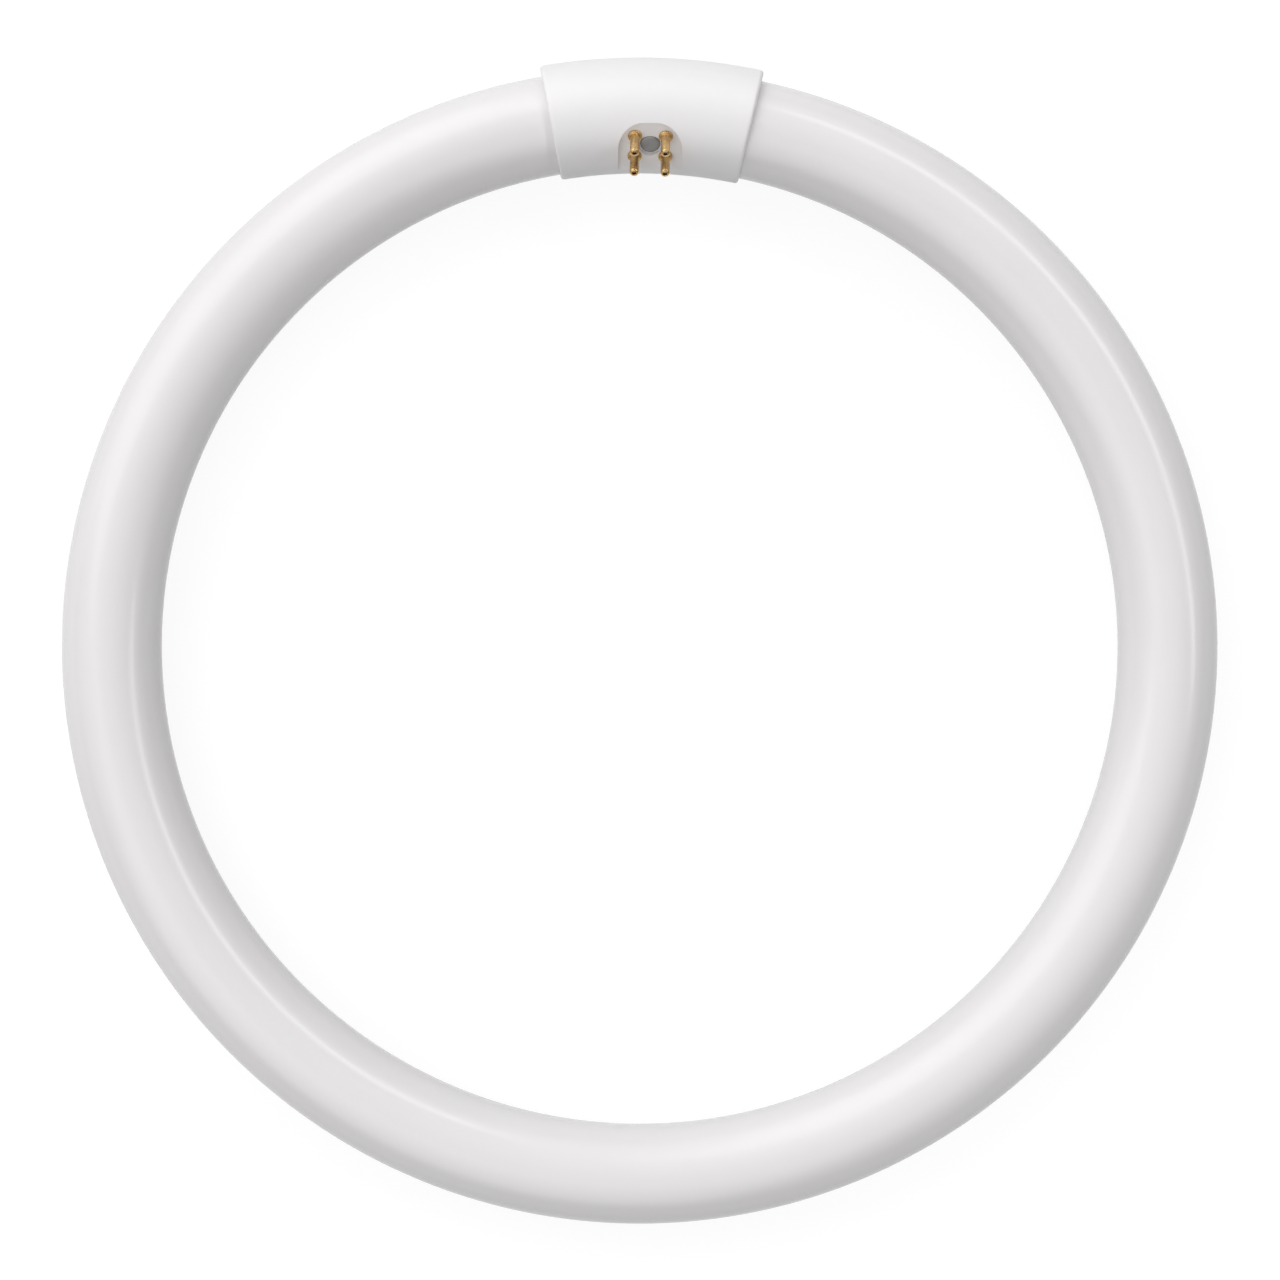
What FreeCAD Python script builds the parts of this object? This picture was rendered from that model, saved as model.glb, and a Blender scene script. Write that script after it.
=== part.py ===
import FreeCAD, Part
import Sketcher
import os

# Circular fluorescent lamp with a four-pin cap.
#
# The frame: the origin is the centre of the ring, in the plane of the tube's centreline.
# +Z is the ring's axis, on the side that the pins point to. +Y runs from the centre to the cap.
# Lengths are millimetres and angles are degrees.

SIZES = {
    # Glass ring
    "ring_diameter": 300.0,        # across the outside of the glass ring
    "tube_diameter": 25.7,         # across the glass tube
    "end_rounding": 3.0,           # rounding of the tube's closed ends
    "end_clearance": 1.2,          # from each glass end to the block that carries the pins
    "stem_depth": 9.0,             # how far the funnel of the stem goes into the glass end
    "stem_flare": 2.9,             # how much wider the funnel's mouth is than its bottom, in radius
    "stem_margin": 1.1,            # from a lead wire to the funnel's side, at the bottom
    "exhaust_diameter": 3.4,       # stub of the exhaust tube in the middle of the funnel
    "exhaust_tip_diameter": 1.3,   # its melted-off tip
    "exhaust_taper": 2.2,          # length over which the stub narrows to its tip
    "exhaust_reach": 1.5,          # how far the tip stands out past the glass end
    # Cap, moulded in two halves that part on a plane square to the pins
    "cap_length": 52.4,            # along the cap's own centreline
    "end_lean": 1.27,              # the cap's ends flare outwards this far from the ring's radius, in degrees
    "cap_offset": 0.65,            # the cap's centreline lies this far outside the tube's
    "tube_clearance": 0.25,        # between the tube and the lips at the cap's two ends
    "cavity_relief": 0.2,          # the hollow stands back this much more than the lips
    "cap_wall": 0.95,              # wall between the hollow and the outside
    "lip_length": 2.0,             # lips at the cap's ends, along the tube
    "cap_rounding": 0.9,           # rounding of the cap's end edges
    "pin_tilt": 45.0,              # the pins lean this far from the ring's axis, towards its centre
    # Window that the pins stand in
    "window_width": 16.4,          # across the window, along the ring
    "window_reach": 7.3,           # from the middle of the pins to the top of the arch
    "window_corner": 6.5,          # radius of the arch's shoulders
    "window_depth": 2.0,           # floor below the crown of the cap
    "window_wall": 1.2,            # wall left beside the window
    "floor_thickness": 2.0,        # floor that the pins are riveted into
    # Contact pins
    "pin_column_pitch": 7.92,      # between pins, along the ring
    "pin_row_pitch": 6.35,         # between pins, across the ring
    "pin_diameter": 2.36,
    "pin_length": 7.5,             # above the floor
    "pin_bore": 1.1,               # the pin is a drawn tube, open at its tip
    "pin_tip_rounding": 0.5,
    "pin_collar_diameter": 3.65,
    "pin_collar_thickness": 0.7,
    "pin_head_diameter": 3.2,      # upset head under the floor
    "pin_head_thickness": 0.5,
    "pin_clearance": 0.05,         # between a pin and its hole
    # Rivet that holds the halves together, and the hollow posts that it goes through
    "rivet_diameter": 3.0,
    "rivet_bore": 1.8,
    "rivet_crown": 3.0,            # solid length left between the bore and the head's seat
    "rivet_head_diameter": 5.2,
    "rivet_head_thickness": 0.7,
    "rivet_rounding": 0.4,
    "rivet_recess": 1.2,           # the heads are seated this deep
    "rivet_clearance": 0.1,        # between the rivet and the posts
    "recess_clearance": 0.5,       # round each head
    "seat_thickness": 1.2,         # wall under the rivet's seat in the back half
    "post_wall": 1.3,
    "spigot_wall": 0.6,            # the back post locates in the front post by a spigot
    "spigot_height": 1.0,
    "spigot_clearance": 0.1,
    "rib_thickness": 1.0,          # web that ties each post to the shell
    "rib_depth": 5.0,
    "root_depth": 0.3,             # posts and webs are rooted this deep in the wall that they stand on
    # Lead wires from the glass ends to the pins
    "lead_diameter": 0.6,
    "lead_bend": 2.2,              # radius of the bend up into the pin
    "lead_setback": 0.6,           # the wire ends this far inside the pin's tip
}

# Sizes that follow from the ones above
TUBE_RADIUS = "(sizes.tube_diameter / 2)"
RING_RADIUS = f"(sizes.ring_diameter / 2 - {TUBE_RADIUS})"
BORE_RADIUS = f"({TUBE_RADIUS} + sizes.tube_clearance)"
CAP_CENTRE = f"({RING_RADIUS} + sizes.cap_offset)"
CAVITY_RADIUS = f"({BORE_RADIUS} + sizes.cap_offset + sizes.cavity_relief)"
CAP_RADIUS = f"({CAVITY_RADIUS} + sizes.cap_wall)"
WALL_MIDDLE = f"({CAVITY_RADIUS} + sizes.cap_wall / 2)"
CAP_HALF_ANGLE = f"(sizes.cap_length / 2 / {CAP_CENTRE} * 180 / pi)"
LIP_ANGLE = f"(sizes.lip_length / {CAP_CENTRE} * 180 / pi)"
END_PLANE_ANGLE = f"({CAP_HALF_ANGLE} + sizes.end_lean)"
HOLLOW_HALF_ANGLE = f"({CAP_HALF_ANGLE} - {LIP_ANGLE})"

# Levels are measured from the cap's centreline along the pins
FLOOR_LEVEL = f"({CAP_RADIUS} - sizes.window_depth)"
FRONT_LAND = f"({FLOOR_LEVEL} - sizes.floor_thickness)"
FRONT_SEAT = f"({FLOOR_LEVEL} - sizes.rivet_recess)"
BACK_SEAT = f"({CAP_RADIUS} - sizes.rivet_recess)"
BACK_LAND = f"({BACK_SEAT} - sizes.seat_thickness)"

PIN_RADIUS = "(sizes.pin_diameter / 2)"
RIVET_HOLE_RADIUS = "(sizes.rivet_diameter / 2 + sizes.rivet_clearance)"
RECESS_RADIUS = "(sizes.rivet_head_diameter / 2 + sizes.recess_clearance)"
POST_RADIUS = f"({RIVET_HOLE_RADIUS} + sizes.post_wall)"
SPIGOT_RADIUS = f"({RIVET_HOLE_RADIUS} + sizes.spigot_wall)"
FRONT_LAND_HALF = "(sizes.window_width / 2 + sizes.window_wall)"
BACK_LAND_HALF = f"({RECESS_RADIUS} + sizes.post_wall)"

# The glass ends are planes through the ring's axis, clear of the block that carries the pins
GLASS_END = f"({FRONT_LAND_HALF} + sizes.end_clearance)"
GLASS_END_ANGLE = f"(asin({GLASS_END} / ({RING_RADIUS} - {TUBE_RADIUS})) / 1 deg)"
STEM_BOTTOM = f"({GLASS_END} + sizes.stem_depth)"
STEM_BOTTOM_RADIUS = "(sizes.pin_row_pitch / 2 + sizes.lead_diameter / 2 + sizes.stem_margin)"

FRONT_TILT = "sizes.pin_tilt"
BACK_TILT = "(sizes.pin_tilt + 180)"

doc = FreeCAD.newDocument("ring_lamp")
sheet = doc.addObject("Spreadsheet::Sheet", "sizes")
for row, (alias, value) in enumerate(SIZES.items(), 1):
    sheet.set(f"A{row}", str(value))
    sheet.setAlias(f"A{row}", alias)
doc.recompute()


def number(expression):
    """The value of an expression, as a plain number."""
    result = sheet.evalExpression(expression)
    return getattr(result, "Value", result)


def new_body(label):
    body = doc.addObject("PartDesign::Body", label)
    body.Label = label
    return body


def origin_feature(body, role):
    return next(feature for feature in body.Origin.OriginFeatures if feature.Role == role)


def new_sketch(body, plane, name, base=None, axis=None, angle="0"):
    """A sketch on one of the body's planes, shifted by base and turned about axis in that plane's frame."""
    sketch = body.newObject("Sketcher::SketchObject", name)
    sketch.AttachmentSupport = [(origin_feature(body, plane), "")]
    sketch.MapMode = "FlatFace"
    if axis:
        sketch.AttachmentOffset = FreeCAD.Placement(
            FreeCAD.Vector(), FreeCAD.Rotation(FreeCAD.Vector(*axis), number(angle))
        )
        sketch.setExpression("AttachmentOffset.Rotation.Angle", angle)
    for letter, expression in (base or {}).items():
        sketch.setExpression(f"AttachmentOffset.Base.{letter}", expression)
    return sketch


def across_pins(body, name, tilt, level):
    """A sketch square to the pins: x along the ring, and its normal out of that half of the cap."""
    base = {"y": f"{CAP_CENTRE} - {level} * sin({tilt})", "z": f"{level} * cos({tilt})"}
    return new_sketch(body, "XY_Plane", name, base, axis=(1, 0, 0), angle=tilt)


def cap_section(body, name, tilt):
    """A sketch in the cap's middle section: origin on the cap's centreline, y out of that half."""
    return new_sketch(body, "YZ_Plane", name, {"x": CAP_CENTRE}, axis=(0, 0, 1), angle=tilt)


def ring_section(body, name, angle):
    """A sketch in the plane that holds the ring's axis, turned by angle from the middle of the cap."""
    return new_sketch(body, "YZ_Plane", name, axis=(0, 1, 0), angle=angle)


def bind(sketch, kind, geometry, expression):
    """Adds a constraint whose value is bound to the sheet."""
    index = sketch.addConstraint(Sketcher.Constraint(kind, *geometry, number(expression)))
    sketch.setExpression(f"Constraints[{index}]", expression)


def pin_point(sketch, geometry, point, x, y):
    """Fixes a point of the sketch at x and y from its origin."""
    origin = (-1, 1)
    if x == "0":
        sketch.addConstraint(Sketcher.Constraint("PointOnObject", geometry, point, -2))
    else:
        bind(sketch, "DistanceX", (*origin, geometry, point), x)
    if y == "0":
        sketch.addConstraint(Sketcher.Constraint("PointOnObject", geometry, point, -1))
    else:
        bind(sketch, "DistanceY", (*origin, geometry, point), y)


def draw_circle(sketch, x, y, radius):
    centre = FreeCAD.Vector(number(x), number(y), 0)
    circle = sketch.addGeometry(Part.Circle(centre, FreeCAD.Vector(0, 0, 1), number(radius)))
    pin_point(sketch, circle, 3, x, y)
    bind(sketch, "Radius", (circle,), radius)
    return sketch


def draw_polygon(sketch, corners):
    """A closed outline of straight lines, each corner given by two expressions."""
    points = [FreeCAD.Vector(number(x), number(y), 0) for x, y in corners]
    lines = [
        sketch.addGeometry(Part.LineSegment(point, points[(i + 1) % len(points)]))
        for i, point in enumerate(points)
    ]
    for i, line in enumerate(lines):
        following = lines[(i + 1) % len(lines)]
        sketch.addConstraint(Sketcher.Constraint("Coincident", line, 2, following, 1))
        pin_point(sketch, line, 1, *corners[i])
    return sketch


def draw_arc(sketch, x, y, radius, start, end):
    """An arc about x and y. Start and end are angles at which it is first drawn."""
    centre = FreeCAD.Vector(number(x), number(y), 0)
    circle = Part.Circle(centre, FreeCAD.Vector(0, 0, 1), number(radius))
    first, last = (number(f"{angle} * pi / 180") for angle in (start, end))
    arc = sketch.addGeometry(Part.ArcOfCircle(circle, first, last))
    pin_point(sketch, arc, 3, x, y)
    bind(sketch, "Radius", (arc,), radius)
    return arc


def draw_line(sketch, start, end):
    """A line between two points, each given as (geometry, point) of what is drawn already."""
    line = sketch.addGeometry(Part.LineSegment(sketch.getPoint(*start), sketch.getPoint(*end)))
    sketch.addConstraint(Sketcher.Constraint("Coincident", line, 1, *start))
    sketch.addConstraint(Sketcher.Constraint("Coincident", line, 2, *end))
    return line


def finish_feature(body, feature, adds):
    """Recomputes, and stops if the feature adds or removes no material."""
    before = feature.BaseFeature.Shape.Volume if feature.BaseFeature else 0.0
    doc.recompute()
    change = feature.Shape.Volume - before
    if (change if adds else -change) < 0.001:
        raise RuntimeError(f"{body.Label}: {feature.Name} changes the volume by {change:.4f}")
    return feature


def revolve(body, sketch, axis, angle="360", cuts=False):
    """Turns a sketch about an axis, evenly to both sides of its plane."""
    kind = "Groove" if cuts else "Revolution"
    feature = body.newObject(f"PartDesign::{kind}", f"{sketch.Name}_{kind.lower()}")
    feature.Profile = sketch
    feature.ReferenceAxis = axis
    feature.Midplane = True
    feature.setExpression("Angle", angle)
    return finish_feature(body, feature, adds=not cuts)


def pad(body, sketch, length, side="One side", backwards=False):
    feature = body.newObject("PartDesign::Pad", f"{sketch.Name}_pad")
    feature.Profile = sketch
    feature.SideType = side
    feature.Reversed = backwards
    feature.setExpression("Length", length)
    return finish_feature(body, feature, adds=True)


def pocket(body, sketch, length=None, side="One side", outwards=False):
    """Cuts a sketch into the body: by length, or right through. Outwards is along the sketch's normal."""
    feature = body.newObject("PartDesign::Pocket", f"{sketch.Name}_pocket")
    feature.Profile = sketch
    feature.SideType = side
    feature.Reversed = outwards
    if length:
        feature.setExpression("Length", length)
    else:
        feature.Type = "ThroughAll"
    return finish_feature(body, feature, adds=False)


def mirror(body, features, name):
    """Repeats features on the other side of the middle of the cap."""
    feature = body.newObject("PartDesign::Mirrored", name)
    feature.Originals = features
    feature.MirrorPlane = (origin_feature(body, "YZ_Plane"), [""])
    body.Tip = feature
    doc.recompute()
    return feature


def circle_edge(radius, level=None):
    """A test for a circular edge of a radius, anywhere or at one level of the body's z."""
    def wanted(edge):
        if not isinstance(edge.Curve, Part.Circle) or abs(edge.Curve.Radius - number(radius)) > 1e-6:
            return False
        return level is None or abs(edge.Curve.Center.z - number(level)) < 1e-6
    return wanted


def cap_end_edge(edge):
    """A test for a curved edge that lies in the plane of one of the cap's ends."""
    if isinstance(edge.Curve, (Part.Line, Part.LineSegment)):
        return False
    x = number(f"{CAP_CENTRE} * sin({CAP_HALF_ANGLE})")
    y = number(f"{CAP_CENTRE} * cos({CAP_HALF_ANGLE})")
    along_x = number(f"cos({END_PLANE_ANGLE})")
    along_y = number(f"-sin({END_PLANE_ANGLE})")
    heights = [(abs(p.x) - x) * along_x + (p.y - y) * along_y for p in edge.discretize(5)]
    return max(abs(height) for height in heights) < 1e-3


def round_edges(body, name, wanted, rounding):
    """Rounds the edges that pass a test."""
    base = body.Tip
    feature = body.newObject("PartDesign::Fillet", name)
    feature.Base = (base, [f"Edge{i}" for i, edge in enumerate(base.Shape.Edges, 1) if wanted(edge)])
    feature.setExpression("Radius", rounding)
    return finish_feature(body, feature, adds=False)


def ring_axis(body):
    return (origin_feature(body, "Z_Axis"), [""])


def at_pins(x, across, level, turn=""):
    """A placement with z along the pins: x along the ring, across towards its centre, and a level."""
    y = f"{CAP_CENTRE} - {level} * sin({FRONT_TILT}) - {across} * cos({FRONT_TILT})"
    z = f"{level} * cos({FRONT_TILT}) - {across} * sin({FRONT_TILT})"
    return f"placement(vector({x}; {y}; {z}); rotation(vector(1; 0; 0); {FRONT_TILT}){turn})"


# Glass ring


def glass_tube():
    """One sealed solid: the ring, and at each end a rounded rim, a stem's funnel and an exhaust stub."""
    body = new_body("glass_tube")
    section = new_sketch(body, "YZ_Plane", "tube_section")
    draw_circle(section, f"-{RING_RADIUS}", "0", TUBE_RADIUS)
    revolve(body, section, ring_axis(body), f"360 - 2 * {GLASS_END_ANGLE}")
    round_edges(body, "tube_ends", circle_edge(TUBE_RADIUS), f"min(sizes.end_rounding; 0.5 * {TUBE_RADIUS})")

    funnel = new_sketch(body, "XY_Plane", "stem_funnel", {"y": CAP_CENTRE})
    draw_polygon(funnel, [
        (GLASS_END, "0"),
        (STEM_BOTTOM, "0"),
        (STEM_BOTTOM, STEM_BOTTOM_RADIUS),
        (GLASS_END, f"{STEM_BOTTOM_RADIUS} + sizes.stem_flare"),
    ])
    funnel_cut = revolve(body, funnel, (funnel, ["H_Axis"]), cuts=True)

    stub_tip = f"({GLASS_END} - sizes.exhaust_reach)"
    stub_root = f"({STEM_BOTTOM} + sizes.stem_margin)"
    stub = new_sketch(body, "XY_Plane", "exhaust_stub", {"y": CAP_CENTRE})
    draw_polygon(stub, [
        (stub_tip, "0"),
        (stub_root, "0"),
        (stub_root, "sizes.exhaust_diameter / 2"),
        (f"{stub_tip} + sizes.exhaust_taper", "sizes.exhaust_diameter / 2"),
        (stub_tip, "sizes.exhaust_tip_diameter / 2"),
    ])
    stub_added = revolve(body, stub, (stub, ["H_Axis"]))
    mirror(body, [funnel_cut, stub_added], "other_end")
    return body


# The two halves of the cap


def cap_half(label, tilt, land, land_half):
    """Half of the sleeve round the tube ends: hollow between two lips, with a land and a rivet post."""
    body = new_body(label)
    axis = ring_axis(body)
    facing_away = f"({tilt} - 90)"
    outer = cap_section(body, f"{label}_outer", facing_away)
    draw_circle(outer, "0", "0", CAP_RADIUS)
    revolve(body, outer, axis, f"2 * ({CAP_HALF_ANGLE} + {LIP_ANGLE} / 2)")

    other_half = across_pins(body, f"{label}_parting", tilt, "0")
    half_width = "sizes.cap_length"
    half_height = f"(2 * {CAP_RADIUS})"
    draw_polygon(other_half, [
        (f"-{half_width}", f"-{half_height}"),
        (half_width, f"-{half_height}"),
        (half_width, half_height),
        (f"-{half_width}", half_height),
    ])
    pocket(body, other_half, f"2 * {CAP_RADIUS}")
    end_place = {"x": f"{CAP_CENTRE} * sin({CAP_HALF_ANGLE})", "y": f"{CAP_CENTRE} * cos({CAP_HALF_ANGLE})"}
    end = new_sketch(body, "XY_Plane", f"{label}_end", end_place, axis=(0, 0, 1), angle=f"-{END_PLANE_ANGLE}")
    draw_polygon(end, [
        ("0", f"-{half_height}"),
        ("sizes.lip_length", f"-{half_height}"),
        ("sizes.lip_length", half_height),
        ("0", half_height),
    ])
    end_cut = pocket(body, end, side="Symmetric")
    mirror(body, [end_cut], f"{label}_other_end")
    round_edges(body, f"{label}_end_edges", cap_end_edge, "sizes.cap_rounding")

    hollow = cap_section(body, f"{label}_hollow", facing_away)
    draw_circle(hollow, "0", "0", CAVITY_RADIUS)
    revolve(body, hollow, axis, f"2 * {HOLLOW_HALF_ANGLE}", cuts=True)

    bore = ring_section(body, f"{label}_lip_bore", f"-({CAP_HALF_ANGLE} - {LIP_ANGLE} / 2)")
    draw_circle(bore, RING_RADIUS, "0", BORE_RADIUS)
    bore_cut = revolve(body, bore, axis, f"2 * {LIP_ANGLE}", cuts=True)
    mirror(body, [bore_cut], f"{label}_other_lip")

    block = cap_section(body, f"{label}_land", tilt)
    edge_angle = number(f"asin({land} / {WALL_MIDDLE})")
    arc = draw_arc(block, "0", "0", WALL_MIDDLE, edge_angle, 180 - edge_angle)
    chord = draw_line(block, (arc, 2), (arc, 1))
    block.addConstraint(Sketcher.Constraint("Horizontal", chord))
    bind(block, "DistanceY", (-1, 1, chord, 1), land)
    land_angle = f"(asin({land_half} / ({CAP_CENTRE} - {CAP_RADIUS})) / 1 deg)"
    revolve(body, block, axis, f"2 * {land_angle}")

    post = draw_circle(across_pins(body, f"{label}_post", tilt, "0"), "0", "0", POST_RADIUS)
    pad(body, post, f"{land} + sizes.root_depth")
    post_rib(body, f"{label}_rib", tilt, land)
    return body


def post_rib(body, name, tilt, land):
    """A web across the cap's middle, from wall to wall, that ties the post to the shell under the land."""
    sketch = cap_section(body, name, tilt)
    foot = f"({land} - sizes.rib_depth)"
    top = f"({land} + sizes.root_depth)"
    foot_angle = number(f"asin({foot} / {WALL_MIDDLE})")
    top_angle = number(f"asin({top} / {WALL_MIDDLE})")
    right = draw_arc(sketch, "0", "0", WALL_MIDDLE, foot_angle, top_angle)
    left = draw_arc(sketch, "0", "0", WALL_MIDDLE, 180 - top_angle, 180 - foot_angle)
    top_line = draw_line(sketch, (right, 2), (left, 1))
    foot_line = draw_line(sketch, (left, 2), (right, 1))
    for line, level in ((top_line, top), (foot_line, foot)):
        sketch.addConstraint(Sketcher.Constraint("Horizontal", line))
        bind(sketch, "DistanceY", (-1, 1, line, 1), level)
    return pad(body, sketch, "sizes.rib_thickness", side="Symmetric")


def rivet_way(body, tilt, seat):
    """The hole for the rivet through post and land, and the recess that its head sits in."""
    label = body.Label
    hole = draw_circle(across_pins(body, f"{label}_rivet_hole", tilt, "0"), "0", "0", RIVET_HOLE_RADIUS)
    pocket(body, hole, side="Symmetric")
    recess = draw_circle(across_pins(body, f"{label}_rivet_recess", tilt, seat), "0", "0", RECESS_RADIUS)
    pocket(body, recess, outwards=True)


def window_outline(sketch):
    """An arch with round shoulders, open at the foot, where the floor runs out of the cap's round side."""
    half = "(sizes.window_width / 2)"
    shoulder_x = f"({half} - sizes.window_corner)"
    shoulder_y = "(sizes.window_reach - sizes.window_corner)"
    foot = f"(-{CAP_RADIUS})"
    right = draw_arc(sketch, shoulder_x, shoulder_y, "sizes.window_corner", 0, 90)
    left = draw_arc(sketch, f"-{shoulder_x}", shoulder_y, "sizes.window_corner", 90, 180)
    draw_line(sketch, (right, 2), (left, 1))
    corners = [FreeCAD.Vector(number(x), number(foot), 0) for x in (f"-{half}", half)]
    left_side = sketch.addGeometry(Part.LineSegment(sketch.getPoint(left, 2), corners[0]))
    bottom = sketch.addGeometry(Part.LineSegment(*corners))
    right_side = sketch.addGeometry(Part.LineSegment(corners[1], sketch.getPoint(right, 1)))
    sketch.addConstraint(Sketcher.Constraint("Coincident", left_side, 1, left, 2))
    sketch.addConstraint(Sketcher.Constraint("Coincident", left_side, 2, bottom, 1))
    sketch.addConstraint(Sketcher.Constraint("Coincident", bottom, 2, right_side, 1))
    sketch.addConstraint(Sketcher.Constraint("Coincident", right_side, 2, right, 1))
    sketch.addConstraint(Sketcher.Constraint("Vertical", left_side))
    sketch.addConstraint(Sketcher.Constraint("Vertical", right_side))
    sketch.addConstraint(Sketcher.Constraint("Horizontal", bottom))
    bind(sketch, "DistanceY", (-1, 1, right, 1), shoulder_y)
    bind(sketch, "DistanceX", (-1, 1, right, 2), shoulder_x)
    bind(sketch, "DistanceX", (-1, 1, left, 1), f"-{shoulder_x}")
    bind(sketch, "DistanceY", (-1, 1, left, 2), shoulder_y)
    bind(sketch, "DistanceY", (-1, 1, bottom, 1), foot)


def cap_front():
    """The half that carries the pins, in a window with a flat floor."""
    body = cap_half("cap_front", FRONT_TILT, FRONT_LAND, FRONT_LAND_HALF)
    window = across_pins(body, "window", FRONT_TILT, FLOOR_LEVEL)
    window_outline(window)
    pocket(body, window, outwards=True)

    holes = across_pins(body, "pin_holes", FRONT_TILT, FLOOR_LEVEL)
    for column, row in PIN_PLACES:
        draw_circle(holes, pin_x(column), pin_across(row), f"{PIN_RADIUS} + sizes.pin_clearance")
    pocket(body, holes)

    socket = across_pins(body, "post_socket", FRONT_TILT, "0")
    draw_circle(socket, "0", "0", f"{SPIGOT_RADIUS} + sizes.spigot_clearance")
    pocket(body, socket, "sizes.spigot_height + sizes.spigot_clearance", outwards=True)
    rivet_way(body, FRONT_TILT, FRONT_SEAT)
    return body


def cap_back():
    """The plain half, with a spigot on its post."""
    body = cap_half("cap_back", BACK_TILT, BACK_LAND, BACK_LAND_HALF)
    spigot = draw_circle(across_pins(body, "post_spigot", BACK_TILT, "0"), "0", "0", SPIGOT_RADIUS)
    pad(body, spigot, "sizes.spigot_height", backwards=True)
    rivet_way(body, BACK_TILT, BACK_SEAT)
    return body


# Pins, rivet and wires


PIN_PLACES = [(-1, -1), (1, -1), (-1, 1), (1, 1)]


def pin_x(column):
    return f"({column} * sizes.pin_column_pitch / 2)"


def pin_across(row):
    return f"({row} * sizes.pin_row_pitch / 2)"


def turned_piece(label, outline):
    """A turned piece about its own z, from an outline of radius and height."""
    body = new_body(label)
    sketch = draw_polygon(new_sketch(body, "XZ_Plane", f"{label}_outline"), outline)
    revolve(body, sketch, (sketch, ["V_Axis"]))
    return body


def contact_pin(index, column, row):
    """A drawn brass tube with a collar above the floor and an upset head below it."""
    bore = "(sizes.pin_bore / 2)"
    head = "(sizes.pin_head_diameter / 2)"
    collar = "(sizes.pin_collar_diameter / 2)"
    head_seat = "(-sizes.floor_thickness)"
    bottom = f"({head_seat} - sizes.pin_head_thickness)"
    label = f"contact_pin_{index}"
    body = turned_piece(label, [
        (bore, bottom),
        (head, bottom),
        (head, head_seat),
        (PIN_RADIUS, head_seat),
        (PIN_RADIUS, "0"),
        (collar, "0"),
        (collar, "sizes.pin_collar_thickness"),
        (PIN_RADIUS, "sizes.pin_collar_thickness"),
        (PIN_RADIUS, "sizes.pin_length"),
        (bore, "sizes.pin_length"),
    ])
    rounding = f"min(sizes.pin_tip_rounding; 0.8 * ({PIN_RADIUS} - {bore}))"
    round_edges(body, f"{label}_tip", circle_edge(PIN_RADIUS, "sizes.pin_length"), rounding)
    body.setExpression("Placement", at_pins(pin_x(column), pin_across(row), FLOOR_LEVEL))
    return body


def cap_rivet():
    """A steel rivet: a solid head in the window, and a hollow tail rolled over in the back half."""
    bore = "(sizes.rivet_bore / 2)"
    shank = "(sizes.rivet_diameter / 2)"
    head = "(sizes.rivet_head_diameter / 2)"
    top = f"({FRONT_SEAT} + sizes.rivet_head_thickness)"
    tail_seat = f"(-{BACK_SEAT})"
    tail = f"({tail_seat} - sizes.rivet_head_thickness)"
    bore_end = f"({FRONT_SEAT} - sizes.rivet_crown)"
    body = turned_piece("cap_rivet", [
        ("0", top),
        (head, top),
        (head, FRONT_SEAT),
        (shank, FRONT_SEAT),
        (shank, tail_seat),
        (head, tail_seat),
        (head, tail),
        (bore, tail),
        (bore, bore_end),
        ("0", bore_end),
    ])
    rounding = "min(sizes.rivet_rounding; 0.8 * sizes.rivet_head_thickness)"
    round_edges(body, "rivet_head_edge", circle_edge(head, top), rounding)
    round_edges(body, "rivet_tail_edge", circle_edge(head, tail), rounding)
    body.setExpression("Placement", at_pins("0", "0", "0"))
    return body


def lead_wire(index, column, row):
    """A wire out of the bottom of the stem's funnel, along the cap and up into its pin."""
    body = new_body(f"lead_wire_{index}")
    start = f"({STEM_BOTTOM} - sizes.pin_column_pitch / 2)"
    top = f"({FLOOR_LEVEL} + sizes.pin_length - sizes.lead_setback)"
    path = new_sketch(body, "XY_Plane", f"lead_path_{index}")
    bend = draw_arc(path, "-sizes.lead_bend", "sizes.lead_bend", "sizes.lead_bend", 270, 360)
    bind(path, "DistanceX", (-1, 1, bend, 1), "-sizes.lead_bend")
    bind(path, "DistanceY", (-1, 1, bend, 2), "sizes.lead_bend")
    start_point = FreeCAD.Vector(-number(start), 0, 0)
    run = path.addGeometry(Part.LineSegment(start_point, path.getPoint(bend, 1)))
    rise = path.addGeometry(Part.LineSegment(path.getPoint(bend, 2), FreeCAD.Vector(0, number(top), 0)))
    path.addConstraint(Sketcher.Constraint("Coincident", run, 2, bend, 1))
    path.addConstraint(Sketcher.Constraint("Coincident", rise, 1, bend, 2))
    pin_point(path, run, 1, f"-{start}", "0")
    pin_point(path, rise, 2, "0", top)

    section = new_sketch(body, "YZ_Plane", f"lead_section_{index}", {"z": f"-{start}"})
    draw_circle(section, "0", "0", "sizes.lead_diameter / 2")
    doc.recompute()
    pipe = body.newObject("PartDesign::AdditivePipe", f"lead_pipe_{index}")
    pipe.Profile = section
    pipe.Spine = path
    finish_feature(body, pipe, adds=True)

    upright = " * rotation(vector(1; 0; 0); 90)"
    facing = " * rotation(vector(0; 1; 0); 180)" if column > 0 else ""
    body.setExpression("Placement", at_pins(pin_x(column), pin_across(row), "0", upright + facing))
    return body


# Build, check and write every piece

pieces = [glass_tube(), cap_front(), cap_back(), cap_rivet()]
for index, (column, row) in enumerate(PIN_PLACES, 1):
    pieces.append(contact_pin(index, column, row))
    pieces.append(lead_wire(index, column, row))
doc.recompute()

for item in doc.Objects:
    if "Invalid" in item.State or "Error" in item.State:
        raise RuntimeError(f"{item.Label} failed: {item.State}")
for piece in pieces:
    if piece.Shape.isNull() or not piece.Shape.isValid() or len(piece.Shape.Solids) != 1:
        raise RuntimeError(f"{piece.Label} isn't one valid solid")

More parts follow.
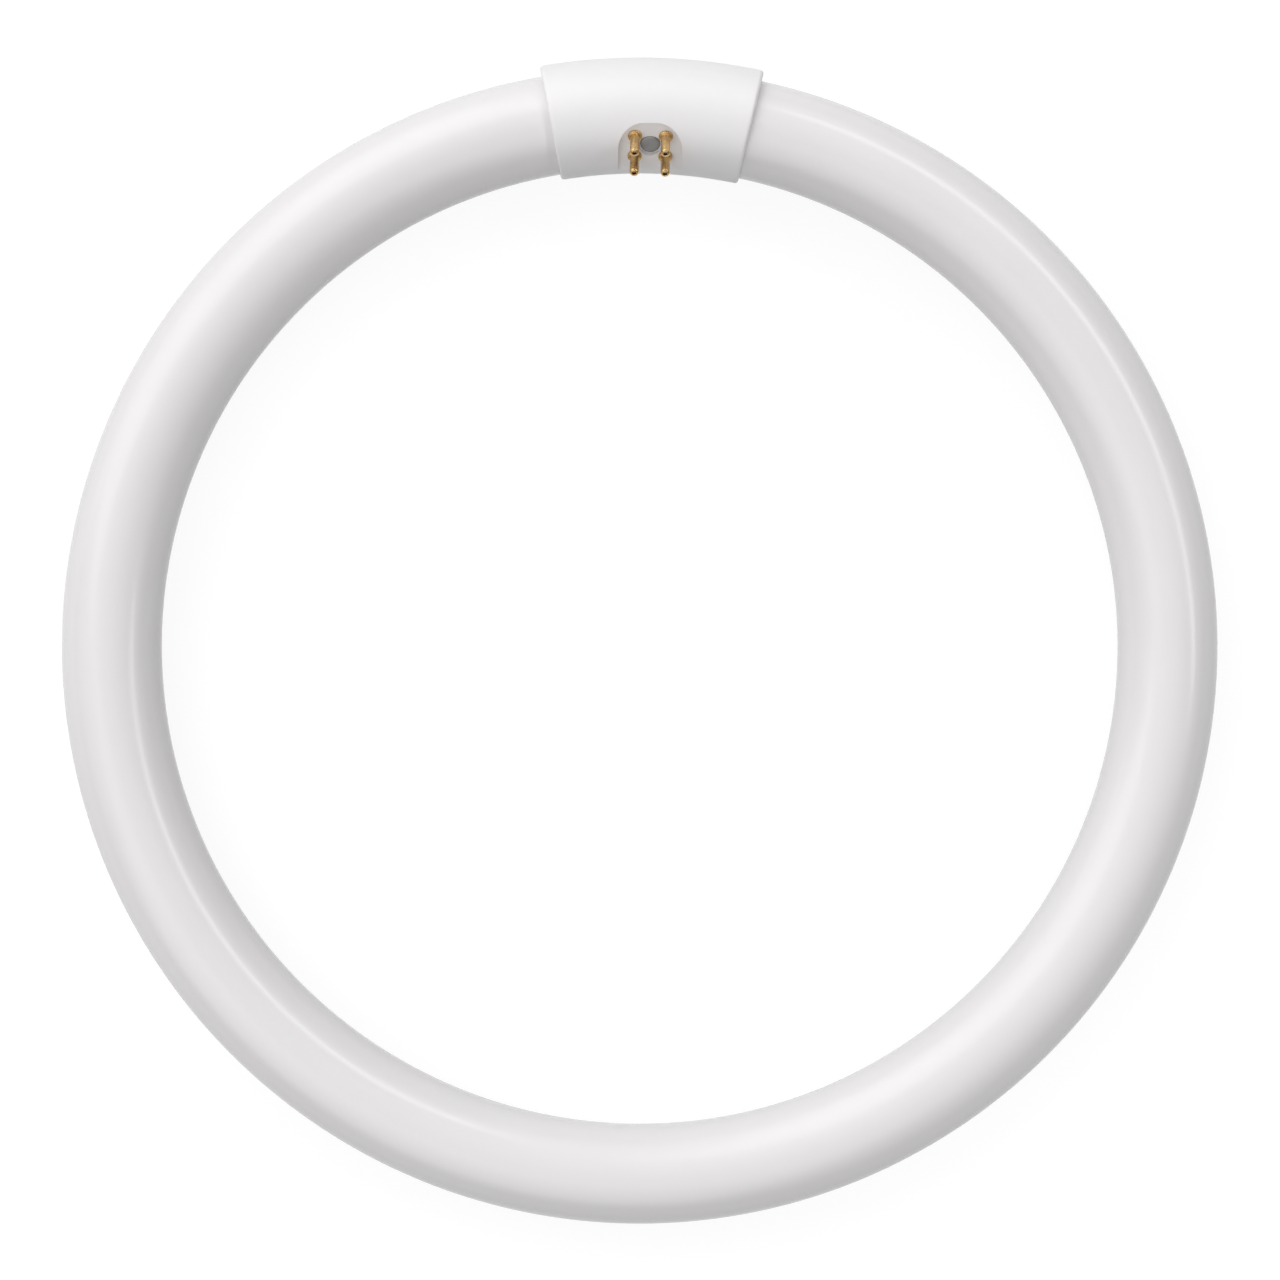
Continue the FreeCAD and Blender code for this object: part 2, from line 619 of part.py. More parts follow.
os.makedirs("parts", exist_ok=True)
for piece in pieces:
    piece.Shape.exportStep(f"parts/{piece.Label}.step")
    print(f"{piece.Label}: {piece.Shape.Volume:.1f} cubic mm")
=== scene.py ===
# %% [markdown]
# # A circular fluorescent tube
# The lamp is a ring of white coated glass whose two ends meet inside a moulded cap. Brass contact
# pins stand in an arched window of the cap, and the grey head of a rivet shows between them.
# The CAD model gives every size and place. This lesson models each piece that can be seen a second
# time, with rounder edges and finer curves, and gives it the finish that the real one has.

# %% Load the CAD frame
import math

import bmesh
import bpy
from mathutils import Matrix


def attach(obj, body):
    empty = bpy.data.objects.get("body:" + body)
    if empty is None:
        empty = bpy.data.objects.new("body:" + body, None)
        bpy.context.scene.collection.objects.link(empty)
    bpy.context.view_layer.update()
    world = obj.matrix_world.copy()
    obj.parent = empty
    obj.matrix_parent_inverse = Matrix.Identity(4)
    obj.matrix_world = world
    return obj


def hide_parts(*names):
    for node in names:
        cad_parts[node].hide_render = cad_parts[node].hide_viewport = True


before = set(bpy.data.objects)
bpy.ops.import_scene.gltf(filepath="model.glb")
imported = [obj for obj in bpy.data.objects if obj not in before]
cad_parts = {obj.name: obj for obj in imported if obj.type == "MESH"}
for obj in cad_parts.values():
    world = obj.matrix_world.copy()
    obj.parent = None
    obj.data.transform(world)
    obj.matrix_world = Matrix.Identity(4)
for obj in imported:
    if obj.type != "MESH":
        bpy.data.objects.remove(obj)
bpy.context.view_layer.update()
scene = bpy.context.scene
scene.view_settings.view_transform = "Standard"
MM = 0.001
print("CAD nodes:", ", ".join(sorted(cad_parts)))

# %% [markdown]
# ## Sizes of the ring and the cap
# These repeat the named sizes of the CAD source, in metres. The frame has its origin at the centre
# of the ring. Z is the ring's axis, and the cap is on the +Y side. The pins lean by 45 degrees
# towards the ring's centre, so their direction is a vector of its own.

# %% Sizes
RING_RADIUS = 137.15 * MM
TUBE_RADIUS = 12.85 * MM
CAP_CENTRE = 137.8 * MM
CAP_RADIUS = 14.9 * MM
PIN_TILT = math.radians(45)
PIN_AXIS = (0, -math.sin(PIN_TILT), math.cos(PIN_TILT))
CAP_MIDDLE = (0, CAP_CENTRE, 0)
FLOOR_LEVEL = 12.9 * MM
print("Ring across:", round(2 * (RING_RADIUS + TUBE_RADIUS) / MM, 1), "mm")

# %% [markdown]
# ## A tube that is bent round the ring
# The glass, the outside of the cap and its hollow are all the same form: a circle that is swept
# round the ring's axis. A curve with a round bevel would also give it, but a curve can't take the
# rounded ends. So a circle is added where the tube starts, spun about the axis, and its last ring
# is then extruded in small steps that shrink it, which rounds the end. Only the half with +X is
# made, and a Mirror modifier gives the other half. With no window, Blender's spin and rotate both
# turn clockwise as seen from +Z.

# %% Helpers for bent tubes
MERGE_DISTANCE = 0.001 * MM


def let_go():
    """Leaves edit mode and selects nothing, so that the next operator acts on its own piece only."""
    if bpy.context.mode != "OBJECT":
        bpy.ops.object.mode_set(mode="OBJECT")
    bpy.ops.object.select_all(action="DESELECT")


def take(piece):
    """Makes a piece the only one that is selected, and the active one."""
    let_go()
    piece.select_set(True)
    bpy.context.view_layer.objects.active = piece


def apply_last_modifier(piece):
    bpy.ops.object.modifier_apply(modifier=piece.modifiers[-1].name)


def start_bent_tube(name, ring, tube, start, reach, steps, segments):
    """A circle at start, 1 for the cap's side and -1 for the far side, spun round by an angle."""
    let_go()
    bpy.ops.mesh.primitive_circle_add(
        vertices=segments, radius=tube, location=(0, start * ring, 0), rotation=(0, math.pi / 2, 0)
    )
    piece = bpy.context.object
    piece.name = name
    bpy.ops.object.transform_apply(location=True, rotation=True, scale=True)
    bpy.ops.object.mode_set(mode="EDIT")
    bpy.ops.mesh.select_all(action="SELECT")
    bpy.ops.mesh.spin(steps=steps, angle=start * reach, center=(0, 0, 0), axis=(0, 0, 1))
    return piece


def round_off(ring, tube, corner, start, angle, steps):
    """Extrudes the selected ring of edges over a rounded corner. Angle is where it stands, from +Y."""
    for step in range(1, steps + 1):
        before = math.pi / 2 * (step - 1) / steps
        after = math.pi / 2 * step / steps
        turn = corner * (math.sin(after) - math.sin(before)) / ring
        old_radius = tube - corner * (1 - math.cos(before))
        new_radius = tube - corner * (1 - math.cos(after))
        bpy.ops.mesh.extrude_region_move()
        bpy.ops.transform.rotate(value=start * turn, orient_axis="Z", center_override=(0, 0, 0))
        angle += start * turn
        shrink = new_radius / old_radius
        centre = (ring * math.sin(angle), ring * math.cos(angle), 0)
        bpy.ops.transform.resize(value=(shrink, shrink, shrink), center_override=centre)
    return angle


def mirror_half(piece):
    """Closes a half piece with its mirror image across the plane x = 0."""
    take(piece)
    bpy.ops.object.modifier_add(type="MIRROR")
    piece.modifiers[-1].merge_threshold = MERGE_DISTANCE
    apply_last_modifier(piece)
    face_outwards(piece)


def face_outwards(piece):
    """Merges what lies in one place, and turns every face to the outside."""
    take(piece)
    bpy.ops.object.mode_set(mode="EDIT")
    bpy.ops.mesh.select_all(action="SELECT")
    bpy.ops.mesh.remove_doubles(threshold=MERGE_DISTANCE)
    bpy.ops.mesh.normals_make_consistent(inside=False)
    bpy.ops.object.mode_set(mode="OBJECT")


def report(piece):
    """Prints a piece's count of faces and open edges, and its box in millimetres."""
    low = [min(v.co[i] for v in piece.data.vertices) / MM for i in range(3)]
    high = [max(v.co[i] for v in piece.data.vertices) / MM for i in range(3)]
    box = [[round(v, 2) for v in corner] for corner in (low, high)]
    print(piece.name, len(piece.data.polygons), "faces, open edges:", open_edges(piece), "box", *box)


def open_edges(piece):
    """How many edges don't lie between exactly two faces."""
    form = bmesh.new()
    form.from_mesh(piece.data)
    count = sum(1 for edge in form.edges if len(edge.link_faces) != 2)
    form.free()
    return count


# %% [markdown]
# ## Glass ring
# The bulb is one glass tube, bent hot round a drum until its ends nearly meet. Each end is closed by
# a glass stem: the rim turns in, a funnel goes back into the tube, and the stub of the exhaust tube,
# melted shut, stands in the middle of it. The cap hides these ends, but they are modelled, because
# the cap comes off on a bench. The spin starts opposite the cap and stops a few degrees short of its
# middle.

# %% Model the glass ring
GLASS_END_X = 10.6 * MM
GLASS_INSIDE = 124.3 * MM
GLASS_END_ANGLE = math.asin(GLASS_END_X / GLASS_INSIDE)
GLASS_STEPS = 150
GLASS_SEGMENTS = 96
GLASS_SMOOTHING = math.radians(35)
END_ROUNDING = 3.0 * MM
END_STEPS = 8
FUNNEL_MOUTH = 7.09 * MM
FUNNEL_BOTTOM = 4.575 * MM
FUNNEL_BOTTOM_X = 19.6 * MM
STUB_RADIUS = 1.7 * MM
STUB_STATIONS = [(11.3, 1.7), (10.2, 1.5), (9.5, 1.05), (9.1, 0.45)]

long_way = math.pi - GLASS_END_ANGLE - END_ROUNDING / RING_RADIUS
glass = start_bent_tube("glass_ring", RING_RADIUS, TUBE_RADIUS, -1, long_way, GLASS_STEPS, GLASS_SEGMENTS)
end_angle = round_off(RING_RADIUS, TUBE_RADIUS, END_ROUNDING, -1, math.pi - long_way, END_STEPS)
rim = TUBE_RADIUS - END_ROUNDING
rim_centre = (RING_RADIUS * math.sin(end_angle), RING_RADIUS * math.cos(end_angle), 0)
mouth_centre = (CAP_CENTRE * math.tan(end_angle), CAP_CENTRE, 0)


def extrude_to(old_centre, new_centre, shrink):
    """Extrudes the selected ring of edges to a new centre, and scales it there."""
    step = [new - old for old, new in zip(old_centre, new_centre)]
    bpy.ops.mesh.extrude_region_move(TRANSFORM_OT_translate={"value": step})
    bpy.ops.transform.resize(value=(shrink, shrink, shrink), center_override=new_centre)


extrude_to(rim_centre, mouth_centre, FUNNEL_MOUTH / rim)
bottom_centre = (FUNNEL_BOTTOM_X, CAP_CENTRE, 0)
extrude_to(mouth_centre, bottom_centre, FUNNEL_BOTTOM / FUNNEL_MOUTH)
bpy.ops.transform.rotate(value=-end_angle, orient_axis="Z", center_override=bottom_centre)
extrude_to(bottom_centre, bottom_centre, STUB_RADIUS / FUNNEL_BOTTOM)
place, radius = bottom_centre, STUB_RADIUS
for stub_x, stub_radius in STUB_STATIONS:
    next_place = (stub_x * MM, CAP_CENTRE, 0)
    extrude_to(place, next_place, stub_radius * MM / radius)
    place, radius = next_place, stub_radius * MM
bpy.ops.mesh.edge_face_add()
mirror_half(glass)
take(glass)
bpy.ops.object.shade_smooth_by_angle(angle=GLASS_SMOOTHING)
report(glass)

# %% [markdown]
# ## The sleeve of the cap
# The cap is a hollow sleeve round both glass ends, moulded in two halves that part on a plane square
# to the pins. Sculpting each half by itself would leave a step at the seam. So the whole sleeve is
# made once from three bent tubes, the outside, the hollow and the bore of the lips that hold the
# glass, and then cut in two with Bisect, which also fills the cut. The ends flare a little: the last
# ring of edges is turned by a degree before it is rounded off. A Boolean leaves its vertices in an
# order that varies from run to run, so the mesh is sorted after each one.

# %% Model the sleeve and part it
CAVITY_RADIUS = 13.95 * MM
BORE_RADIUS = 13.1 * MM
CAP_REACH = 26.2 * MM / CAP_CENTRE
LIP_REACH = 2.0 * MM / CAP_CENTRE
CAP_ROUNDING = 0.9 * MM
CAP_CORNER_STEPS = 6
END_LEAN = math.radians(1.27)
BACK_AXIS = tuple(-along for along in PIN_AXIS)
SLEEVE_STEPS = 44
SLEEVE_SEGMENTS = 176
HOLLOW_STEPS = 40
HOLLOW_SEGMENTS = 128
SORTING_LINE = (0.61, 0.53, 0.37)


def closed_bent_tube(name, ring, tube, reach, steps, segments, corner=0.0, lean=0.0):
    """A solid bent tube across the cap's middle, closed at both ends, which may lean and be round."""
    straight = reach - corner / ring
    piece = start_bent_tube(name, ring, tube, 1, straight, steps, segments)
    if corner:
        end = (ring * math.sin(straight), ring * math.cos(straight), 0)
        bpy.ops.transform.rotate(value=lean, orient_axis="Z", center_override=end)
        round_off(ring, tube, corner, 1, straight, CAP_CORNER_STEPS)
    bpy.ops.mesh.edge_face_add()
    mirror_half(piece)
    return piece


def put_in_order(piece):
    """Sorts a mesh along a slanted line, on which mirrored places don't fall together."""
    form = bmesh.new()
    form.from_mesh(piece.data)
    form.verts.sort(key=lambda vert: vert.co.dot(SORTING_LINE))
    form.edges.sort(key=lambda edge: (edge.verts[0].co + edge.verts[1].co).dot(SORTING_LINE))
    form.faces.sort(key=lambda face: face.calc_center_median().dot(SORTING_LINE))
    form.to_mesh(piece.data)
    form.free()


def combine(piece, other, operation):
    """Applies a Boolean modifier to a piece, and deletes the other one."""
    take(piece)
    bpy.ops.object.modifier_add(type="BOOLEAN")
    modifier = piece.modifiers[-1]
    modifier.operation = operation
    modifier.solver = "EXACT"
    modifier.object = other
    apply_last_modifier(piece)
    put_in_order(piece)
    bpy.data.objects.remove(other)


def cut_flat(piece, level, outwards):
    """Keeps what lies past a plane square to the pins. Outwards is the pins' way, or the other way."""
    take(piece)
    bpy.ops.object.mode_set(mode="EDIT")
    bpy.ops.mesh.select_all(action="SELECT")
    point = [middle + level * along for middle, along in zip(CAP_MIDDLE, outwards)]
    bpy.ops.mesh.bisect(plane_co=point, plane_no=outwards, use_fill=True, clear_inner=True)
    bpy.ops.object.mode_set(mode="OBJECT")


sleeve = closed_bent_tube(
    "cap_sleeve", CAP_CENTRE, CAP_RADIUS, CAP_REACH, SLEEVE_STEPS, SLEEVE_SEGMENTS, CAP_ROUNDING, END_LEAN
)
hollow = closed_bent_tube(
    "hollow", CAP_CENTRE, CAVITY_RADIUS, CAP_REACH - LIP_REACH, HOLLOW_STEPS, HOLLOW_SEGMENTS
)
combine(sleeve, hollow, "DIFFERENCE")
bore = closed_bent_tube(
    "bore", RING_RADIUS, BORE_RADIUS, CAP_REACH + LIP_REACH, SLEEVE_STEPS, HOLLOW_SEGMENTS
)
combine(sleeve, bore, "DIFFERENCE")
take(sleeve)
bpy.ops.object.duplicate()
cap_back = bpy.context.object
cap_back.name = "cap_back_half"
cap_front = sleeve
cap_front.name = "cap_front_half"
cut_flat(cap_front, 0, PIN_AXIS)
cut_flat(cap_back, 0, BACK_AXIS)
report(cap_front)
report(cap_back)

# %% [markdown]
# ## Lands, posts and webs inside the cap
# Under the window the wall thickens to a land, which the pins are riveted into. A hollow post carries
# the rivet through each half, and a thin web ties it to the walls. They are made of the same bent
# tubes, cut off flat at a level along the pins, and of a cylinder that stands in the cap's frame.

# %% Model the inside of the halves
WALL_MIDDLE = 14.425 * MM
FRONT_LAND = 10.9 * MM
FRONT_LAND_HALF = 9.4 * MM
BACK_LAND = 12.5 * MM
BACK_LAND_HALF = 4.4 * MM
LAND_STEPS = 12
POST_RADIUS = 2.9 * MM
POST_SEGMENTS = 64
SPIGOT_RADIUS = 2.2 * MM
SPIGOT_HEIGHT = 1.0 * MM
RIB_HALF = 0.5 * MM / CAP_CENTRE
RIB_DEPTH = 5.0 * MM
RIB_STEPS = 2
ROOT_DEPTH = 0.3 * MM
INNER_RADIUS = CAP_CENTRE - CAP_RADIUS
BACK_TILT = PIN_TILT + math.pi


def stand_in_cap(piece, tilt=PIN_TILT):
    """Leans an upright piece over so that its z runs along the pins, and moves it into the cap."""
    take(piece)
    piece.rotation_euler = (tilt, 0, 0)
    piece.location = CAP_MIDDLE
    bpy.ops.object.transform_apply(location=True, rotation=True, scale=True)


def post(name, radius, foot, top, tilt):
    """A round post between two levels along the pins."""
    let_go()
    bpy.ops.mesh.primitive_cylinder_add(
        vertices=POST_SEGMENTS, radius=radius, depth=top - foot, location=(0, 0, (foot + top) / 2)
    )
    piece = bpy.context.object
    piece.name = name
    bpy.ops.object.transform_apply(location=True, rotation=True, scale=True)
    stand_in_cap(piece, tilt)
    return piece


halves = [
    (cap_front, PIN_AXIS, PIN_TILT, FRONT_LAND, math.asin(FRONT_LAND_HALF / INNER_RADIUS)),
    (cap_back, BACK_AXIS, BACK_TILT, BACK_LAND, math.asin(BACK_LAND_HALF / INNER_RADIUS)),
]
for half, outwards, tilt, land_level, land_reach in halves:
    land = closed_bent_tube("land", CAP_CENTRE, WALL_MIDDLE, land_reach, LAND_STEPS, HOLLOW_SEGMENTS)
    cut_flat(land, land_level, outwards)
    combine(half, land, "UNION")
    rib = closed_bent_tube("rib", CAP_CENTRE, WALL_MIDDLE, RIB_HALF, RIB_STEPS, HOLLOW_SEGMENTS)
    cut_flat(rib, land_level - RIB_DEPTH, outwards)
    combine(half, rib, "UNION")
    combine(half, post("post", POST_RADIUS, 0, land_level + ROOT_DEPTH, tilt), "UNION")
combine(cap_back, post("spigot", SPIGOT_RADIUS, -SPIGOT_HEIGHT, ROOT_DEPTH, BACK_TILT), "UNION")
report(cap_front)
report(cap_back)

# %% [markdown]
# ## The arched window
# The window is an arch with round shoulders whose flat floor runs out of the cap's round side. Its
# cutter is a box in the cap's frame with two long edges bevelled to the shoulders' radius. In that
# frame x runs along the ring, y away from the ring's centre, and z along the pins.

# %% Cut the window
WINDOW_HALF = 8.2 * MM
WINDOW_TOP = 7.3 * MM
WINDOW_CORNER = 6.5 * MM
WINDOW_CORNER_STEPS = 28
WINDOW_FOOT = -16.0 * MM
WINDOW_CROWN = 17.0 * MM


def select_edges(piece, wanted):
    """Enters edit mode with the edges selected that pass a test, and says how many they are."""
    take(piece)
    bpy.ops.object.mode_set(mode="EDIT")
    bpy.ops.mesh.select_all(action="DESELECT")
    bpy.ops.mesh.select_mode(type="EDGE")
    form = bmesh.from_edit_mesh(piece.data)
    for edge in form.edges:
        edge.select_set(wanted(edge))
    form.select_flush_mode()
    bmesh.update_edit_mesh(piece.data)
    return sum(1 for edge in form.edges if edge.select)


def upright_shoulder(edge):
    """Whether an edge of the box runs along the pins at the top of the arch."""
    first, second = (vert.co for vert in edge.verts)
    return first.z != second.z and min(first.y, second.y) > 0


let_go()
bpy.ops.mesh.primitive_cube_add(
    size=1,
    location=(0, (WINDOW_TOP + WINDOW_FOOT) / 2, (FLOOR_LEVEL + WINDOW_CROWN) / 2),
    scale=(2 * WINDOW_HALF, WINDOW_TOP - WINDOW_FOOT, WINDOW_CROWN - FLOOR_LEVEL),
)
window = bpy.context.object
bpy.ops.object.transform_apply(location=True, rotation=True, scale=True)
print("Shoulders:", select_edges(window, upright_shoulder))
bpy.ops.mesh.bevel(offset=WINDOW_CORNER, segments=WINDOW_CORNER_STEPS, profile=0.5, affect="EDGES")
stand_in_cap(window)
combine(cap_front, window, "DIFFERENCE")
report(cap_front)

# %% [markdown]
# ## Turned pieces
# Pins, rivet and the holes for them are all turned: an outline of radius and height goes once round
# an axis. By hand that is a ring of edges, extruded up and scaled from station to station. A closed
# outline comes back to where it began, and merging the doubles joins its two ends.


# %% Helper for turned pieces
def turn(name, stations, segments, closed=False):
    """A turned piece on the z axis from (radius, height) stations in millimetres."""
    let_go()
    radius, height = stations[0]
    bpy.ops.mesh.primitive_circle_add(
        vertices=segments,
        radius=radius * MM,
        location=(0, 0, height * MM),
        fill_type="NOTHING" if closed else "NGON",
    )
    piece = bpy.context.object
    piece.name = name
    bpy.ops.object.transform_apply(location=True, rotation=True, scale=True)
    bpy.ops.object.mode_set(mode="EDIT")
    bpy.ops.mesh.select_all(action="SELECT")
    loop = stations[1:] + stations[:1] if closed else stations[1:]
    for new_radius, new_height in loop:
        rise = (0, 0, (new_height - height) * MM)
        bpy.ops.mesh.extrude_region_move(TRANSFORM_OT_translate={"value": rise})
        scale = new_radius / radius
        bpy.ops.transform.resize(value=(scale, scale, 1), center_override=(0, 0, new_height * MM))
        radius, height = new_radius, new_height
    face_outwards(piece)
    return piece


def rounded(corner_radius, corner_height, inwards, upwards, size, steps):
    """Stations that round a corner. Inwards and upwards say on which sides the metal lies."""
    centre = (corner_radius + inwards * size, corner_height + upwards * size)
    points = []
    for step in range(steps + 1):
        lean = math.pi / 2 * step / steps
        points.append((
            centre[0] - inwards * size * math.cos(lean),
            centre[1] - upwards * size * math.sin(lean),
        ))
    return points


# %% [markdown]
# ## Holes for the pins and the rivet
# Four plain holes go through the window's floor. The rivet's way through each half is one turned
# cutter: a recess for the head, the hole through the post and, in the front half, the socket that
# takes the other half's spigot.

# %% Cut the holes
PIN_PLACES = {1: (-3.96, 3.175), 2: (3.96, 3.175), 3: (-3.96, -3.175), 4: (3.96, -3.175)}
PIN_HOLE = [(1.23, 5), (1.23, 18)]
FRONT_WAY = [(2.3, -1), (2.3, 1.1), (1.6, 1.1), (1.6, 11.7), (3.1, 11.7), (3.1, 18)]
BACK_WAY = [(1.6, -2), (1.6, 13.7), (3.1, 13.7), (3.1, 18)]
SMALL_TURN = 48
RIVET_WAY_TURN = 72

for column, row in PIN_PLACES.values():
    hole = turn("pin_hole", PIN_HOLE, SMALL_TURN)
    hole.location = (column * MM, row * MM, 0)
    take(hole)
    bpy.ops.object.transform_apply(location=True, rotation=True, scale=True)
    stand_in_cap(hole)
    combine(cap_front, hole, "DIFFERENCE")
front_way = turn("front_way", FRONT_WAY, RIVET_WAY_TURN)
stand_in_cap(front_way)
combine(cap_front, front_way, "DIFFERENCE")
back_way = turn("back_way", BACK_WAY, RIVET_WAY_TURN)
stand_in_cap(back_way, BACK_TILT)
combine(cap_back, back_way, "DIFFERENCE")
report(cap_front)
report(cap_back)

# %% [markdown]
# ## The gate mark
# Where the plastic flowed into the mould, a shallow round mark is left on the cap's crown, above the
# window. A bump in the material would give its look from one side, but a real dimple takes light and
# shade from every side. So a flat lens is turned and cut away.

# %% Cut the gate mark
GATE_LEAN = math.radians(-22.8)
GATE_OUTLINE = [(0.3, 14.84), (0.6, 14.85), (0.85, 14.87), (1.05, 14.9), (1.3, 14.97), (1.3, 16)]
gate = turn("gate_mark", GATE_OUTLINE, SMALL_TURN)
stand_in_cap(gate, GATE_LEAN)
combine(cap_front, gate, "DIFFERENCE")
report(cap_front)

# %% [markdown]
# ## Softened seam of the cap
# A moulded edge is never knife-sharp: polishing the mould leaves a radius of a tenth of a millimetre or
# less. Where the two halves meet, such a radius on both makes the fine groove that shows as the seam,
# so both halves get a small bevel there. The edges are found by their distance from the cap's
# centreline, by their level between the halves and by how sharply their two faces meet. The groove is
# so fine that it shows only in places. The window's rim stays crisp: its wall runs out to nothing at the
# top and at the foot, where a bevel has no room and leaves spikes, and the radius would be under half a
# pixel in the picture.

# %% Soften the seam
SEAM_ROUNDING = 0.03 * MM
SEAM_TOLERANCE = 0.01 * MM
OUTSIDE_TOLERANCE = 0.03 * MM
TINY_EDGE = 0.03 * MM
FLAT_FACE = 0.01 * MM
SHARP_ANGLE = math.radians(24)
CAP_SMOOTHING = math.radians(32)


def section_distance(point):
    """How far a point is from the cap's bent centreline."""
    return math.hypot(math.hypot(point.x, point.y) - CAP_CENTRE, point.z)


def level_of(point):
    """How far a point is out along the pins, from the middle of the cap."""
    return sum((p - m) * a for p, m, a in zip(point, CAP_MIDDLE, PIN_AXIS))


def on_outside(edge):
    return all(abs(section_distance(vert.co) - CAP_RADIUS) < OUTSIDE_TOLERANCE for vert in edge.verts)


def on_parting_plane(edge):
    return all(abs(level_of(vert.co)) < SEAM_TOLERANCE for vert in edge.verts)


def is_sharp(edge):
    return len(edge.link_faces) == 2 and edge.calc_face_angle() > SHARP_ANGLE


def outer_seam(edge):
    return is_sharp(edge) and on_outside(edge) and on_parting_plane(edge)


def tidy_cut(piece):
    """Joins the tiny edges that a Boolean cut leaves, so that a bevel has room."""
    take(piece)
    bpy.ops.object.mode_set(mode="EDIT")
    bpy.ops.mesh.select_all(action="SELECT")
    bpy.ops.mesh.remove_doubles(threshold=TINY_EDGE)
    bpy.ops.mesh.dissolve_degenerate(threshold=FLAT_FACE)
    bpy.ops.object.mode_set(mode="OBJECT")


for half in (cap_front, cap_back):
    tidy_cut(half)
    print(half.name, "seam edges:", select_edges(half, outer_seam))
    bpy.ops.mesh.bevel(offset=SEAM_ROUNDING, segments=1, profile=0.5, affect="EDGES", clamp_overlap=False)
    take(half)
    bpy.ops.object.shade_smooth_by_angle(angle=CAP_SMOOTHING)
    report(half)

# %% [markdown]
# ## Contact pins
# Each pin is a drawn brass tube with a collar that rests on the window's floor, a rounded tip with an
# open end, and a head that is upset under the floor. The collar's edges and the tip are rounded by
# extra stations in the outline. One pin is turned and copied three times.

# %% Model the pins
METAL_SMOOTHING = math.radians(40)
pin_outline = [(0.55, -2.5), (1.6, -2.5), (1.6, -2.0), (1.18, -2.0), (1.18, 0.0), (1.6, 0.0)]
pin_outline += rounded(1.825, 0.0, -1, 1, 0.15, 3)[::-1]
pin_outline += rounded(1.825, 0.7, -1, -1, 0.22, 4)
pin_outline += [(1.3, 0.7), (1.22, 0.74), (1.18, 0.84), (1.18, 3.0), (1.18, 5.2)]
pin_outline += rounded(1.18, 7.5, -1, -1, 0.5, 6)
pin_outline += [(0.62, 7.49), (0.55, 7.42), (0.55, 6.0)]
first_pin = turn("pin_1", pin_outline, SMALL_TURN, closed=True)
take(first_pin)
bpy.ops.object.shade_smooth_by_angle(angle=METAL_SMOOTHING)
pins = {}
for index, (column, row) in PIN_PLACES.items():
    take(first_pin)
    bpy.ops.object.duplicate()
    pin = bpy.context.object
    pin.name = f"brass_pin_{index}"
    pin.location = (column * MM, row * MM, FLOOR_LEVEL)
    bpy.ops.object.transform_apply(location=True, rotation=True, scale=True)
    stand_in_cap(pin)
    pins[index] = pin
    report(pin)
bpy.data.objects.remove(first_pin)

# %% [markdown]
# ## Rivet
# A steel rivet pulls the two halves together. Its head lies sunk between the pins, a little crowned
# from the press, and its hollow tail is rolled over in a recess of the back half.

# %% Model the rivet
RIVET_TURN = 64
rivet_outline = [(0.5, 12.4), (1.1, 12.39), (1.7, 12.36), (2.2, 12.3)]
rivet_outline += rounded(2.6, 12.28, -1, -1, 0.35, 4)[::-1]
rivet_outline += [(2.6, 11.7), (1.5, 11.7), (1.5, 0.0), (1.5, -13.7), (2.6, -13.7)]
rivet_outline += rounded(2.6, -14.4, -1, 1, 0.35, 4)
rivet_outline += [(1.6, -14.4)]
rivet_outline += rounded(0.9, -14.4, 1, 1, 0.3, 4)[::-1]
rivet_outline += [(0.9, -12.0), (0.9, 8.7)]
rivet = turn("steel_rivet", rivet_outline, RIVET_TURN)
stand_in_cap(rivet)
take(rivet)
bpy.ops.object.shade_smooth_by_angle(angle=METAL_SMOOTHING)
report(rivet)

# %% [markdown]
# ## Which piece stands for which CAD node
# Every new piece rides on the part's one body, hides the CAD node that it stands for, and names the
# slot of the record that its finish belongs to. The lead wires inside the cap stay as the CAD made
# them.

# %% Tie the pieces to the frame
stands_for = [(glass, "glass_tube", "coated_glass"), (cap_front, "cap_front", "cap_plastic")]
stands_for += [(cap_back, "cap_back", "cap_plastic"), (rivet, "cap_rivet", "rivet_steel")]
stands_for += [(pin, f"contact_pin_{index}", "pin_brass") for index, pin in pins.items()]
for piece, node, slot in stands_for:
    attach(piece, "root")
    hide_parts(node)
print("New pieces:", ", ".join(piece.name for piece, node, slot in stands_for))

# %% [markdown]
# ## Shared effects as node groups
# No real surface has one even colour or one even gloss. Two effects are used by several finishes, so
# each is built once as a node group. The first, mottle, drifts between two tints and two values of
# gloss in soft clouds. The second, grain, gives a fine height, which can be stretched along the
# pins for drawn and turned metal.


# %% Build the node groups
def new_group(name, inputs, outputs):
    """A shader node group with named sockets, each given as (name, socket type, first value)."""
    group = bpy.data.node_groups.new(name, "ShaderNodeTree")
    for socket_name, kind, value in inputs:
        socket = group.interface.new_socket(socket_name, in_out="INPUT", socket_type=kind)
        socket.default_value = value
    for socket_name, kind in outputs:
        group.interface.new_socket(socket_name, in_out="OUTPUT", socket_type=kind)
    return group, group.nodes.new("NodeGroupInput"), group.nodes.new("NodeGroupOutput")


def add_node(tree, kind, **values):
    """Adds a node, and sets its plain inputs by name."""
    node = tree.nodes.new(kind)
    for name, value in values.items():
        node.inputs[name.replace("_", " ")].default_value = value
    return node


